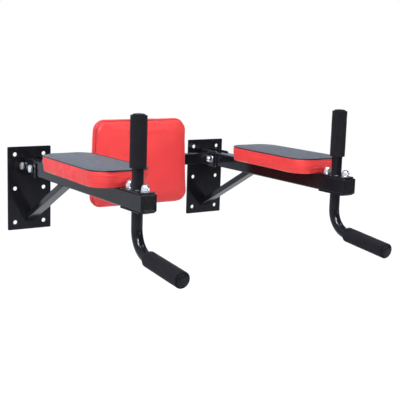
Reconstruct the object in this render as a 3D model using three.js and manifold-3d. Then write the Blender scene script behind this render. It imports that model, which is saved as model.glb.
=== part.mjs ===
// Wall-mounted dip station: two arms cantilevered from wall plates, each with a forearm pad, an upright
// hand grip and a bent lower handle, and between them a crossbar that carries a padded backrest.
// Millimetres. X runs along the wall, Y points into the wall and Z is up. The origin lies on the wall,
// midway between the two wall plates and level with their centres.
import * as THREE from 'three';
import { mergeVertices } from 'three/addons/utils/BufferGeometryUtils.js';
import Module from 'manifold-3d';

// Layout of the whole station
const unitSpacing = 556;
const armAxisHeight = 61;
const fitGap = 0.3;
const cutOverrun = 2;

// Wall plate
const plateWidth = 120;
const plateHeight = 220;
const plateThickness = 4;
const plateCornerRadius = 3;
const plateHoleDiameter = 11;
const plateHoleInset = 20;
const pilotHoleDiameter = 5;
const pilotHoleDrop = 14;

// Arm tube and its end plug
const armSize = 38;
const armWall = 2;
const armCornerRadius = 3.5;
const armHeelGap = 2;
const armEndMargin = 3;
const plugLip = 3;
const plugBoltGap = 1.5;
const plugRecess = 1.2;
const plugRecessInset = 5;
const plugRecessRadius = 2.5;

// Bracket that holds the heel of the arm
const bracketThickness = 3;
const bracketHeight = 46;
const bracketReach = 94;
const bracketCornerRadius = 10;
const bracketBendRadius = 4.5;
const bracketBoltRearReach = 19;
const bracketBoltPitch = 54;

// Brace under the arm
const braceWidth = 28;
const braceDepth = 15;
const braceWall = 1.5;
const braceCornerRadius = 2;
const braceFootDrop = 88;
const braceHeadOffset = 31;

// M10 bolts and cap nuts of the arm and handles
const boltDiameter = 10;
const boltClearance = 0.5;
const boltAcrossFlats = 17;
const boltHeadHeight = 6.4;
const boltTipGap = 2;
const washerDiameter = 21;
const washerThickness = 2;
const nutHexHeight = 8;
const nutDomeDiameter = 16;
const nutDomeCylinder = 0.5;
const nutDomeHeight = 6;
const flatHeadDiameter = 20;
const flatHeadHeight = 1.6;

// M8 screws of the pads and the backrest
const screwDiameter = 8;
const screwAcrossFlats = 13;
const screwHeadHeight = 5.3;
const screwWasherDiameter = 18;
const screwWasherThickness = 1.6;
const screwTipGap = 1;

// Upright grip post
const tubeDiameter = 25;
const tubeWall = 1.5;
const postReach = 576;
const flangeLength = 86;
const flangeThickness = 3;
const flangeCornerRadius = 4;
const flangeBoltPitch = 65;
const postHeight = 157;
const gripDiameter = 36;
const gripEdgeRadius = 2.5;
const postGripLength = 110;
const capDiameter = 27;
const capRim = 1.5;
const capDome = 2.5;
const capStemLength = 14;
const tubeStandProud = 0.8;

// Bent lower handle
const handleDrop = 39;
const handleBendRadius = 55;
const handleBendDegrees = 84;
const handleGripGap = 4;
const handleGripLength = 130;

// Forearm pad
const padLength = 314;
const padFrontGap = 7;
const padRearWidth = 137;
const padFrontWidth = 150;
const padCornerRadius = 42;
const padHeight = 39;
const padTopThickness = 4;
const padTopInset = 1.5;
const padBoardThickness = 9;
const padBoardInset = 5;
const padScrewMargin = 78;

// Crossbar and its end plates
const crossbarSize = 30;
const crossbarWall = 2;
const crossbarCornerRadius = 3;
const endPlateThickness = 3;
const endPlateHeight = 42;
const endPlateMargin = 13;
const endPlateCornerRadius = 8;

// Backrest and the channel that stands it off the crossbar
const backrestTopWidth = 272;
const backrestBottomWidth = 286;
const backrestHeight = 227;
const backrestThickness = 44;
const backrestCornerRadius = 36;
const backrestRise = 6.5;
const backrestBoardThickness = 10;
const backrestBoardInset = 6;
const channelWidth = 150;
const channelHeight = 60;
const channelDepth = 23;
const channelThickness = 3;
const channelBendRadius = 5;
const backrestBoltPitch = 100;

// Facets of round stretches
const cornerSegments = 2;
const cushionSegments = 5;
const holeSegments = 12;
const tubeSegments = 18;
const domeSegments = 3;
const bendSteps = 9;

// Places worked out from the sizes above
const armTop = armAxisHeight + armSize / 2;
const armBottom = armAxisHeight - armSize / 2;
const bracketInnerHalf = armSize / 2 + fitGap;
const bracketOuterHalf = bracketInnerHalf + bracketThickness;
const bracketBoltReaches = [bracketBoltRearReach, bracketBoltRearReach + bracketBoltPitch];
const armReach = postReach + flangeLength / 2 + armEndMargin;
const padRearReach = postReach - flangeLength / 2 - padFrontGap - padLength;
const braceHeadReach = padRearReach + braceHeadOffset;
const handleBoltReaches = [postReach - flangeBoltPitch / 2, postReach + flangeBoltPitch / 2];
const padScrewReaches = [padRearReach + padScrewMargin, padRearReach + padLength - padScrewMargin];
const plugDepth = armReach - handleBoltReaches[1] - boltDiameter / 2 - plugBoltGap;
const boltHoleDiameter = boltDiameter + 2 * boltClearance;
const screwHoleDiameter = screwDiameter + 2 * boltClearance;
const accessHoleDiameter = screwWasherDiameter + 2 * boltClearance;
const crossbarReach = bracketBoltRearReach + bracketBoltPitch / 2;
const crossbarFront = crossbarReach + crossbarSize / 2;
const crossbarRear = crossbarReach - crossbarSize / 2;
const crossbarLength = unitSpacing - 2 * (bracketOuterHalf + endPlateThickness);
const backrestRear = crossbarFront + channelDepth;
const backrestAxisHeight = armAxisHeight + backrestRise;
const rearAndFront = ['rear', 'front'];

// Colours and finishes
const glossBlack = { color: 0x16161a, roughness: 0.22, metalness: 0.55 };
const armGrey = { color: 0x24272c, roughness: 0.4, metalness: 0.5 };
const chrome = { color: 0xe2e4e6, roughness: 0.12, metalness: 1 };
const zinc = { color: 0xb4b8bc, roughness: 0.35, metalness: 1 };
const foam = { color: 0x26262a, roughness: 0.95, metalness: 0 };
const plasticBlack = { color: 0x1a1b1e, roughness: 0.5, metalness: 0 };
const redVinyl = { color: 0xec4a4c, roughness: 0.5, metalness: 0 };
const greyVinyl = { color: 0x747b83, roughness: 0.55, metalness: 0 };
const plywood = { color: 0xa98558, roughness: 0.8, metalness: 0 };

const wasm = await Module();
wasm.setup();

// Closed solid of a geometry, for cutting and joining
function solidOf(geometry) {
  const bare = geometry.clone();
  bare.deleteAttribute('normal');
  bare.deleteAttribute('uv');
  const merged = mergeVertices(bare);
  const vertProperties = new Float32Array(merged.attributes.position.array);
  const triVerts = new Uint32Array(merged.index.array);
  return new wasm.Manifold(new wasm.Mesh({ numProp: 3, vertProperties, triVerts }));
}

function geometryOf(solid) {
  const mesh = solid.getMesh();
  const geometry = new THREE.BufferGeometry();
  geometry.setAttribute('position', new THREE.BufferAttribute(new Float32Array(mesh.vertProperties), 3));
  geometry.setIndex(new THREE.BufferAttribute(new Uint32Array(mesh.triVerts), 1));
  const faceted = geometry.toNonIndexed();
  faceted.computeVertexNormals();
  return faceted;
}

function cut(base, tools) {
  return geometryOf(tools.reduce((solid, tool) => solid.subtract(solidOf(tool)), solidOf(base)));
}

function join(pieces) {
  return geometryOf(pieces.slice(1).reduce((solid, piece) => solid.add(solidOf(piece)), solidOf(pieces[0])));
}

function overlapOf(first, second) {
  return geometryOf(solidOf(first).intersect(solidOf(second)));
}

// Shape with straight sides and round corners through the given corners, listed anticlockwise
function roundedShape(corners, radius) {
  const shape = new THREE.Shape();
  corners.forEach((corner, index) => {
    const before = corners[(index + corners.length - 1) % corners.length];
    const after = corners[(index + 1) % corners.length];
    const towardBefore = before.clone().sub(corner).normalize();
    const towardAfter = after.clone().sub(corner).normalize();
    const halfAngle = Math.acos(towardBefore.dot(towardAfter)) / 2;
    const bisector = towardBefore.clone().add(towardAfter).normalize();
    const centre = corner.clone().addScaledVector(bisector, radius / Math.sin(halfAngle));
    const startNormal = new THREE.Vector2(-towardBefore.y, towardBefore.x).negate();
    const endNormal = new THREE.Vector2(-towardAfter.y, towardAfter.x);
    const start = Math.atan2(-startNormal.y, -startNormal.x);
    const end = Math.atan2(-endNormal.y, -endNormal.x);
    shape.absarc(centre.x, centre.y, radius, start, end, false);
  });
  shape.closePath();
  return shape;
}

function roundedRectangle(width, height, radius) {
  const x = width / 2;
  const y = height / 2;
  const corners = [[-x, -y], [x, -y], [x, y], [-x, y]].map(([cx, cy]) => new THREE.Vector2(cx, cy));
  return roundedShape(corners, radius);
}

// Rounded outline that is bottomWidth wide at y = 0 and topWidth wide at y = height, drawn in by inset
function taperedOutline(bottomWidth, topWidth, height, radius, inset = 0) {
  const slope = (topWidth - bottomWidth) / 2 / height;
  const halfWidthAt = (y) => bottomWidth / 2 + slope * y - inset * Math.hypot(1, slope);
  const low = inset;
  const high = height - inset;
  const corners = [[-halfWidthAt(low), low], [halfWidthAt(low), low],
    [halfWidthAt(high), high], [-halfWidthAt(high), high]];
  return roundedShape(corners.map(([x, y]) => new THREE.Vector2(x, y)), radius - inset);
}

function roundHole(x, y, diameter, segments = holeSegments) {
  const points = Array.from({ length: segments }, (_, step) => {
    const angle = (-2 * Math.PI * step) / segments;
    return new THREE.Vector2(x + diameter / 2 * Math.cos(angle), y + diameter / 2 * Math.sin(angle));
  });
  return new THREE.Path(points);
}

// Prism of a shape, standing on its plane and rising along +Z
function prism(shape, height, curveSegments = cornerSegments) {
  return new THREE.ExtrudeGeometry(shape, { depth: height, bevelEnabled: false, curveSegments });
}

// Turns a prism so that its shape's x, y become X, Z and it grows towards -Y, out of the wall
function facingOut(geometry) {
  return geometry.rotateX(Math.PI / 2);
}

// Turns a prism so that its shape's x, y become Y, Z and it grows along +X
function facingAcross(geometry) {
  return geometry.rotateX(Math.PI / 2).rotateZ(Math.PI / 2);
}

// Turns a solid made along +Z so that it runs along +X
function alongX(geometry) {
  return geometry.rotateY(Math.PI / 2);
}

// Turns a solid made along +Z so that it runs along -Y, out of the wall
function alongMinusY(geometry) {
  return geometry.rotateX(Math.PI / 2);
}

// Round bar along +Z, from z = 0 to its length
function bar(diameter, length, segments = holeSegments) {
  const geometry = new THREE.CylinderGeometry(diameter / 2, diameter / 2, length, segments);
  return geometry.rotateX(Math.PI / 2).translate(0, 0, length / 2);
}

// Round solid about +Z from a profile of [radius, height] points
function turned(profile, segments = tubeSegments) {
  const points = profile.map(([radius, height]) => new THREE.Vector2(radius, height));
  return new THREE.LatheGeometry(points, segments).rotateX(Math.PI / 2);
}

// Points of an arc about [x, y], from one angle to another
function arcPoints(x, y, radius, fromAngle, toAngle, steps) {
  return Array.from({ length: steps + 1 }, (_, step) => {
    const angle = fromAngle + ((toAngle - fromAngle) * step) / steps;
    return [x + radius * Math.cos(angle), y + radius * Math.sin(angle)];
  });
}

function hexagonShape(acrossFlats) {
  const radius = acrossFlats / Math.sqrt(3);
  const corners = Array.from({ length: 6 }, (_, side) => {
    const angle = (side * Math.PI) / 3;
    return new THREE.Vector2(radius * Math.cos(angle), radius * Math.sin(angle));
  });
  return new THREE.Shape(corners);
}

// Hex-head bolt with a washer face at z = 0: the head is below it and the shank above
function boltGeometry(diameter, shankLength, acrossFlats, headHeight, washerSize, washerHeight) {
  const head = prism(hexagonShape(acrossFlats), headHeight + washerHeight / 2);
  head.translate(0, 0, -headHeight - washerHeight);
  const washer = bar(washerSize, washerHeight).translate(0, 0, -washerHeight);
  const shank = bar(diameter, shankLength + washerHeight / 2).translate(0, 0, -washerHeight / 2);
  return join([head, washer, shank]);
}

// Bolt with a low flat head below z = 0, which hardly stands proud of what it clamps
function flatBoltGeometry(shankLength) {
  const head = bar(flatHeadDiameter, flatHeadHeight).translate(0, 0, -flatHeadHeight);
  const shank = bar(boltDiameter, shankLength + flatHeadHeight / 2).translate(0, 0, -flatHeadHeight / 2);
  return join([head, shank]);
}

// Cap nut that stands on z = 0 with its washer, hexagon and dome, and a blind bore from below
function capNutGeometry() {
  const washer = bar(washerDiameter, washerThickness);
  const hexagon = prism(hexagonShape(boltAcrossFlats), nutHexHeight + washerThickness / 2);
  hexagon.translate(0, 0, washerThickness / 2);
  const hexTop = washerThickness + nutHexHeight;
  const radius = nutDomeDiameter / 2;
  const skirt = hexTop + nutDomeCylinder;
  const rounding = arcPoints(0, 0, radius, 0, Math.PI / 2, domeSegments).slice(0, -1)
    .map(([reach, height]) => [reach, skirt + height * nutDomeHeight / radius]);
  const dome = turned([[0, washerThickness], [radius, washerThickness], ...rounding,
    [0, skirt + nutDomeHeight]], holeSegments);
  const bore = bar(boltHoleDiameter, cutOverrun + hexTop).translate(0, 0, -cutOverrun);
  return cut(join([washer, hexagon, dome]), [bore]);
}

function standardMaterial(look) {
  return new THREE.MeshStandardMaterial(look);
}

function addPiece(group, name, geometry, look, position = [0, 0, 0]) {
  const mesh = new THREE.Mesh(geometry, standardMaterial(look));
  mesh.name = name;
  mesh.position.set(...position);
  group.add(mesh);
  return mesh;
}

// Steel plate with three rows of two screw holes and a small pilot hole below the upper right one
function wallPlateGeometry() {
  const shape = roundedRectangle(plateWidth, plateHeight, plateCornerRadius);
  const holeX = plateWidth / 2 - plateHoleInset;
  const holeZ = plateHeight / 2 - plateHoleInset;
  for (const x of [-holeX, holeX]) {
    for (const z of [-holeZ, 0, holeZ]) shape.holes.push(roundHole(x, z, plateHoleDiameter));
  }
  shape.holes.push(roundHole(holeX, holeZ - pilotHoleDrop, pilotHoleDiameter));
  return facingOut(prism(shape, plateThickness, cornerSegments));
}

// Bent steel channel welded to the plate: a web on the plate and two ears beside the arm
function armBracketGeometry() {
  const reach = bracketReach - plateThickness;
  const innerRadius = bracketBendRadius - bracketThickness;
  const plan = new THREE.Shape();
  plan.moveTo(-bracketOuterHalf, -reach);
  plan.lineTo(-bracketInnerHalf, -reach);
  plan.absarc(-bracketInnerHalf + innerRadius, -bracketBendRadius, innerRadius, Math.PI, Math.PI / 2, true);
  plan.absarc(bracketInnerHalf - innerRadius, -bracketBendRadius, innerRadius, Math.PI / 2, 0, true);
  plan.lineTo(bracketInnerHalf, -reach);
  plan.lineTo(bracketOuterHalf, -reach);
  plan.absarc(bracketOuterHalf - bracketBendRadius, -bracketBendRadius, bracketBendRadius, 0, Math.PI / 2);
  plan.absarc(-bracketOuterHalf + bracketBendRadius, -bracketBendRadius, bracketBendRadius,
    Math.PI / 2, Math.PI);
  plan.closePath();
  const channel = prism(plan, bracketHeight).translate(0, -plateThickness, armAxisHeight - bracketHeight / 2);
  const profile = roundedRectangle(2 * bracketReach, bracketHeight, bracketCornerRadius);
  const profileWidth = 2 * (bracketOuterHalf + cutOverrun);
  const side = facingAcross(prism(profile, profileWidth)).translate(-profileWidth / 2, 0, armAxisHeight);
  return cut(overlapOf(channel, side), bracketBoltHoles());
}

// Tools that drill the two cross holes of the bracket, also through the arm and the end plates
function bracketBoltHoles() {
  const length = 2 * (bracketOuterHalf + endPlateThickness + cutOverrun);
  return bracketBoltReaches.map((reach) => alongX(bar(boltHoleDiameter, length))
    .translate(-length / 2, -reach, armAxisHeight));
}

// Tools that drill upright holes through the arm and its flanges
function uprightHoles(reaches, diameter) {
  const length = armSize + 2 * (flangeThickness + cutOverrun);
  return reaches.map((reach) => bar(diameter, length)
    .translate(0, -reach, armBottom - flangeThickness - cutOverrun));
}

// Tools that open the arm's underside for the heads of the pad screws, which sit on its upper wall
function accessHoles() {
  return padScrewReaches.map((reach) => bar(accessHoleDiameter, armSize / 2 + cutOverrun)
    .translate(0, -reach, armBottom - cutOverrun));
}

function armTubeGeometry() {
  const shape = roundedRectangle(armSize, armSize, armCornerRadius);
  const bore = armSize - 2 * armWall;
  shape.holes.push(roundedRectangle(bore, bore, armCornerRadius - armWall));
  const heel = plateThickness + bracketThickness + armHeelGap;
  const tube = facingOut(prism(shape, armReach - heel)).translate(0, -heel, armAxisHeight);
  return cut(tube, [...bracketBoltHoles(), ...uprightHoles(handleBoltReaches, boltHoleDiameter),
    ...uprightHoles(padScrewReaches, screwHoleDiameter), ...accessHoles()]);
}

// Moulded plug in the open end of the arm, with a sunk panel in its face
function armEndPlugGeometry() {
  const lip = facingOut(prism(roundedRectangle(armSize, armSize, armCornerRadius), plugLip));
  const stemSize = armSize - 2 * (armWall + fitGap);
  const stemLength = plugDepth + plugLip / 2;
  const stem = facingOut(prism(roundedRectangle(stemSize, stemSize, armCornerRadius - armWall), stemLength));
  stem.translate(0, plugDepth, 0);
  const panelSize = armSize - 2 * plugRecessInset;
  const panelShape = roundedRectangle(panelSize, panelSize, plugRecessRadius);
  const panel = facingOut(prism(panelShape, plugRecess + cutOverrun)).translate(0, plugRecess - plugLip, 0);
  const bore = stemSize - 2 * armWall;
  const hollow = facingOut(prism(roundedRectangle(bore, bore, plugRecessRadius), plugDepth));
  hollow.translate(0, plugDepth + cutOverrun, 0);
  return cut(join([lip, stem]), [panel, hollow]).translate(0, -armReach, armAxisHeight);
}

// Rectangular tube from the wall plate up to the underside of the arm, mitred at both ends
function armBraceGeometry() {
  const shape = roundedRectangle(braceWidth, braceDepth, braceCornerRadius);
  shape.holes.push(roundedRectangle(braceWidth - 2 * braceWall, braceDepth - 2 * braceWall,
    braceCornerRadius - braceWall));
  const run = braceHeadReach - plateThickness;
  const rise = armBottom + braceFootDrop;
  const slope = Math.atan2(rise, run);
  const spare = 2 * braceDepth / Math.sin(slope);
  const length = Math.hypot(run, rise) + 2 * spare;
  const tube = facingOut(prism(shape, length)).translate(0, spare, braceDepth / 2);
  tube.rotateX(-slope).translate(0, -plateThickness, -braceFootDrop);
  const toolSize = 2 * length;
  const wall = new THREE.BoxGeometry(toolSize, toolSize, toolSize);
  wall.translate(0, toolSize / 2 - plateThickness - fitGap, 0);
  const arm = new THREE.BoxGeometry(toolSize, toolSize, toolSize);
  arm.translate(0, 0, toolSize / 2 + armBottom - fitGap);
  return cut(tube, [wall, arm]);
}

// Flat flange of a handle, bolted to the top or the underside of the arm
function flangeGeometry() {
  const shape = roundedRectangle(armSize, flangeLength, flangeCornerRadius);
  for (const y of [-flangeBoltPitch / 2, flangeBoltPitch / 2]) shape.holes.push(roundHole(0, y, boltHoleDiameter));
  return prism(shape, flangeThickness);
}

function tubeShape() {
  const shape = new THREE.Shape();
  shape.absarc(0, 0, tubeDiameter / 2, 0, 2 * Math.PI, false);
  shape.holes.push(roundHole(0, 0, tubeDiameter - 2 * tubeWall, tubeSegments));
  return shape;
}

function postGeometry() {
  return prism(tubeShape(), postHeight, tubeSegments / 2);
}

// Foam sleeve about +Z, with rounded outer edges and a bore that clears the tube
function gripGeometry(length) {
  const inner = tubeDiameter / 2 + fitGap;
  const outer = gripDiameter / 2;
  const soft = gripEdgeRadius;
  return turned([[inner, 0],
    ...arcPoints(outer - soft, soft, soft, -Math.PI / 2, 0, domeSegments),
    ...arcPoints(outer - soft, length - soft, soft, 0, Math.PI / 2, domeSegments),
    [inner, length], [inner, 0]]);
}

// Domed plug in a tube end: its stem is in the tube and its rim starts at z = 0
function capGeometry() {
  const stem = tubeDiameter / 2 - tubeWall - fitGap;
  const rim = capDiameter / 2;
  const domeRadius = (rim * rim + capDome * capDome) / (2 * capDome);
  const domeAngle = Math.asin(rim / domeRadius);
  const dome = arcPoints(0, capRim + capDome - domeRadius, domeRadius,
    Math.PI / 2 - domeAngle, Math.PI / 2, domeSegments).slice(0, -1);
  return turned([[0, -capStemLength], [stem, -capStemLength], [stem, 0], [rim, 0],
    ...dome, [0, capRim + capDome]]);
}

// Line of the lower handle: one step straight down, even steps round the bend and one along the grip
class HandleLine extends THREE.Curve {
  constructor(gripStretch) {
    super();
    this.turn = THREE.MathUtils.degToRad(handleBendDegrees);
    this.bend = handleBendRadius * this.turn;
    this.gripStretch = gripStretch;
    this.steps = bendSteps + 2;
  }

  // Steps are even in the share of the line, not in its length
  getUtoTmapping(share) {
    return share;
  }

  getPoint(share, target = new THREE.Vector3()) {
    const step = share * this.steps;
    const travel = handleDrop * Math.min(step, 1)
      + this.bend * THREE.MathUtils.clamp((step - 1) / bendSteps, 0, 1)
      + this.gripStretch * Math.max(step - 1 - bendSteps, 0);
    return this.pointAt(travel, target);
  }

  // Point at a distance along the line
  pointAt(travel, target = new THREE.Vector3()) {
    const past = Math.min(Math.max(travel - handleDrop, 0), this.bend);
    const angle = past / handleBendRadius;
    const beyond = Math.max(travel - handleDrop - this.bend, 0);
    const y = -handleBendRadius * (1 - Math.cos(angle)) - beyond * Math.sin(angle);
    const z = -Math.min(travel, handleDrop) - handleBendRadius * Math.sin(angle) - beyond * Math.cos(angle);
    return target.set(0, y, z);
  }

  // Point at a distance past the end of the bend
  pastBend(distance) {
    return this.pointAt(handleDrop + this.bend + distance);
  }
}

function addPost(group, label) {
  const top = armTop + flangeThickness;
  addPiece(group, `post_flange_${label}`, flangeGeometry(), glossBlack, [0, -postReach, armTop]);
  addPiece(group, `grip_post_${label}`, postGeometry(), glossBlack, [0, -postReach, top]);
  const gripBase = top + postHeight - tubeStandProud - postGripLength;
  addPiece(group, `post_grip_${label}`, gripGeometry(postGripLength), foam, [0, -postReach, gripBase]);
  addPiece(group, `post_cap_${label}`, capGeometry(), plasticBlack, [0, -postReach, top + postHeight]);
}

function addLowerHandle(group, label) {
  const top = armBottom - flangeThickness;
  addPiece(group, `handle_flange_${label}`, flangeGeometry(), glossBlack, [0, -postReach, top]);
  const line = new HandleLine(handleGripGap + handleGripLength + tubeStandProud);
  const tube = new THREE.ExtrudeGeometry(tubeShape(), {
    extrudePath: line, steps: line.steps, curveSegments: tubeSegments / 2, bevelEnabled: false,
  });
  addPiece(group, `lower_handle_${label}`, tube, glossBlack, [0, -postReach, top]);
  const placeAlong = (mesh, distance) => {
    mesh.position.add(line.pastBend(distance));
    mesh.rotation.x = Math.PI - line.turn;
  };
  const grip = addPiece(group, `handle_grip_${label}`, gripGeometry(handleGripLength), foam,
    [0, -postReach, top]);
  placeAlong(grip, handleGripGap);
  const cap = addPiece(group, `handle_cap_${label}`, capGeometry(), plasticBlack, [0, -postReach, top]);
  placeAlong(cap, handleGripGap + handleGripLength + tubeStandProud + fitGap);
}

// Upright bolts that clamp both flanges to the arm, with cap nuts on top
function addHandleBolts(group, label) {
  const stack = armSize + 2 * flangeThickness;
  const shank = stack + washerThickness + nutHexHeight - boltTipGap;
  handleBoltReaches.forEach((reach, index) => {
    addPiece(group, `handle_bolt_${rearAndFront[index]}_${label}`, flatBoltGeometry(shank), zinc,
      [0, -reach, armBottom - flangeThickness]);
    addPiece(group, `handle_nut_${rearAndFront[index]}_${label}`, capNutGeometry(), chrome,
      [0, -reach, armTop + flangeThickness]);
  });
}

// Cross bolts of the bracket, with their heads outside and cap nuts inside, where the crossbar's end
// plate is in the stack
function addBracketBolts(group, label, innerSide) {
  const nutFace = bracketOuterHalf + endPlateThickness;
  const shank = nutFace + bracketOuterHalf + washerThickness + nutHexHeight - boltTipGap;
  const inward = innerSide * Math.PI / 2;
  bracketBoltReaches.forEach((reach, index) => {
    const bolt = boltGeometry(boltDiameter, shank, boltAcrossFlats, boltHeadHeight, washerDiameter,
      washerThickness).rotateY(inward);
    addPiece(group, `bracket_bolt_${rearAndFront[index]}_${label}`, bolt, zinc,
      [-innerSide * bracketOuterHalf, -reach, armAxisHeight]);
    const nut = capNutGeometry().rotateY(inward);
    addPiece(group, `bracket_nut_${rearAndFront[index]}_${label}`, nut, chrome,
      [innerSide * nutFace, -reach, armAxisHeight]);
  });
}

// Outline of the forearm pad in plan, with y = 0 at its front edge
function padOutline(inset) {
  return taperedOutline(padFrontWidth, padRearWidth, padLength, padCornerRadius, inset);
}

function addPad(group, label) {
  const front = -padRearReach - padLength;
  const sideHeight = padHeight - padTopThickness - fitGap;
  const body = prism(padOutline(0), sideHeight, cushionSegments);
  const recess = prism(padOutline(padBoardInset - fitGap), padBoardThickness + fitGap + cutOverrun,
    cushionSegments).translate(0, 0, -cutOverrun);
  addPiece(group, `pad_cushion_${label}`, cut(body, [recess]), redVinyl, [0, front, armTop + fitGap]);
  addPiece(group, `pad_top_${label}`, prism(padOutline(padTopInset), padTopThickness, cushionSegments),
    greyVinyl, [0, front, armTop + sideHeight + 2 * fitGap]);
  const boardShape = padOutline(padBoardInset);
  for (const reach of padScrewReaches) {
    boardShape.holes.push(roundHole(0, -reach - front, screwHoleDiameter));
  }
  addPiece(group, `pad_board_${label}`, prism(boardShape, padBoardThickness, cushionSegments), plywood,
    [0, front, armTop]);
  const shank = armWall + padBoardThickness - screwTipGap;
  padScrewReaches.forEach((reach, index) => {
    const screw = boltGeometry(screwDiameter, shank, screwAcrossFlats, screwHeadHeight,
      screwWasherDiameter, screwWasherThickness);
    addPiece(group, `pad_screw_${rearAndFront[index]}_${label}`, screw, zinc,
      [0, -reach, armTop - armWall]);
  });
}

// One arm with all that it carries; innerSide is +1 where the crossbar is towards +X, otherwise -1
function armUnit(label, innerSide) {
  const unit = new THREE.Group();
  unit.position.x = -innerSide * unitSpacing / 2;
  addPiece(unit, `wall_plate_${label}`, wallPlateGeometry(), glossBlack);
  addPiece(unit, `arm_bracket_${label}`, armBracketGeometry(), glossBlack);
  addPiece(unit, `arm_tube_${label}`, armTubeGeometry(), armGrey);
  addPiece(unit, `arm_end_plug_${label}`, armEndPlugGeometry(), plasticBlack);
  addPiece(unit, `arm_brace_${label}`, armBraceGeometry(), armGrey);
  addPost(unit, label);
  addLowerHandle(unit, label);
  addHandleBolts(unit, label);
  addBracketBolts(unit, label, innerSide);
  addPad(unit, label);
  addPiece(unit, `crossbar_end_plate_${label}`, endPlateGeometry(innerSide), glossBlack);
  return unit;
}

// Flat plate at the end of the crossbar, bolted to the inner ear of the bracket
function endPlateGeometry(innerSide) {
  const length = bracketBoltPitch + 2 * endPlateMargin;
  const shape = roundedRectangle(length, endPlateHeight, endPlateCornerRadius);
  for (const y of [-bracketBoltPitch / 2, bracketBoltPitch / 2]) {
    shape.holes.push(roundHole(y, 0, boltHoleDiameter));
  }
  const inner = innerSide > 0 ? bracketOuterHalf : -bracketOuterHalf - endPlateThickness;
  return facingAcross(prism(shape, endPlateThickness)).translate(inner, -crossbarReach, armAxisHeight);
}

// Tools that drill the holes of the two backrest bolts
function backrestBoltHoles() {
  const length = backrestRear + backrestBoardThickness + cutOverrun;
  return [-1, 1].map((side) => alongMinusY(bar(screwHoleDiameter, length))
    .translate(side * backrestBoltPitch / 2, 0, armAxisHeight));
}

function crossbarGeometry() {
  const shape = roundedRectangle(crossbarSize, crossbarSize, crossbarCornerRadius);
  const bore = crossbarSize - 2 * crossbarWall;
  shape.holes.push(roundedRectangle(bore, bore, crossbarCornerRadius - crossbarWall));
  const tube = facingAcross(prism(shape, crossbarLength));
  tube.translate(-crossbarLength / 2, -crossbarReach, armAxisHeight);
  return cut(tube, backrestBoltHoles());
}

// Bent channel between the crossbar and the backrest board
function backrestBracketGeometry() {
  const half = channelWidth / 2;
  const inner = half - channelThickness;
  const innerRadius = channelBendRadius - channelThickness;
  const plan = new THREE.Shape();
  plan.moveTo(-half, 0);
  plan.absarc(-half + channelBendRadius, -channelDepth + channelBendRadius, channelBendRadius,
    Math.PI, 3 * Math.PI / 2);
  plan.absarc(half - channelBendRadius, -channelDepth + channelBendRadius, channelBendRadius,
    3 * Math.PI / 2, 2 * Math.PI);
  plan.lineTo(half, 0);
  plan.lineTo(inner, 0);
  plan.absarc(inner - innerRadius, -channelDepth + channelBendRadius, innerRadius,
    2 * Math.PI, 3 * Math.PI / 2, true);
  plan.absarc(-inner + innerRadius, -channelDepth + channelBendRadius, innerRadius,
    3 * Math.PI / 2, Math.PI, true);
  plan.lineTo(-inner, 0);
  plan.closePath();
  const channel = prism(plan, channelHeight);
  channel.translate(0, -crossbarFront, armAxisHeight - channelHeight / 2);
  return cut(channel, backrestBoltHoles());
}

// Outline of the backrest as seen from the front, with y = 0 at its lower edge
function backrestOutline(inset) {
  return taperedOutline(backrestBottomWidth, backrestTopWidth, backrestHeight, backrestCornerRadius, inset);
}

function addBackrest(group) {
  const low = backrestAxisHeight - backrestHeight / 2;
  const body = facingOut(prism(backrestOutline(0), backrestThickness, cushionSegments));
  const recessDepth = backrestBoardThickness + fitGap + cutOverrun;
  const recess = facingOut(prism(backrestOutline(backrestBoardInset - fitGap), recessDepth,
    cushionSegments)).translate(0, cutOverrun, 0);
  addPiece(group, 'backrest_cushion', cut(body, [recess]), redVinyl, [0, -backrestRear - fitGap, low]);
  const boardShape = backrestOutline(backrestBoardInset);
  for (const side of [-1, 1]) {
    boardShape.holes.push(roundHole(side * backrestBoltPitch / 2, armAxisHeight - low, screwHoleDiameter));
  }
  const board = facingOut(prism(boardShape, backrestBoardThickness, cushionSegments));
  addPiece(group, 'backrest_board', board, plywood, [0, -backrestRear, low]);
}

// Long bolts through the crossbar and the channel into the backrest board
function addBackrestBolts(group) {
  const shank = backrestRear - crossbarRear + backrestBoardThickness - screwTipGap;
  [['left', -1], ['right', 1]].forEach(([label, side]) => {
    const bolt = alongMinusY(boltGeometry(screwDiameter, shank, screwAcrossFlats, screwHeadHeight,
      screwWasherDiameter, screwWasherThickness));
    addPiece(group, `backrest_bolt_${label}`, bolt, zinc,
      [side * backrestBoltPitch / 2, -crossbarRear, armAxisHeight]);
  });
}

const station = new THREE.Group();
station.add(armUnit('left', 1));
station.add(armUnit('right', -1));
addPiece(station, 'crossbar', crossbarGeometry(), glossBlack);
addPiece(station, 'backrest_bracket', backrestBracketGeometry(), glossBlack);
addBackrest(station);
addBackrestBolts(station);

export default station;
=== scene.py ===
# Looks of a wall-mounted dip station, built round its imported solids. Lengths are in metres. X runs along
# the wall, Y points into the wall and Z is up. The directions of a piece's own frame are u, v and w.
from math import asin, atan2, cos, degrees, pi, radians, sin, tan, tanh

import bmesh
import bpy
from mathutils import Matrix, Vector, noise
from mathutils.kdtree import KDTree


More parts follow.
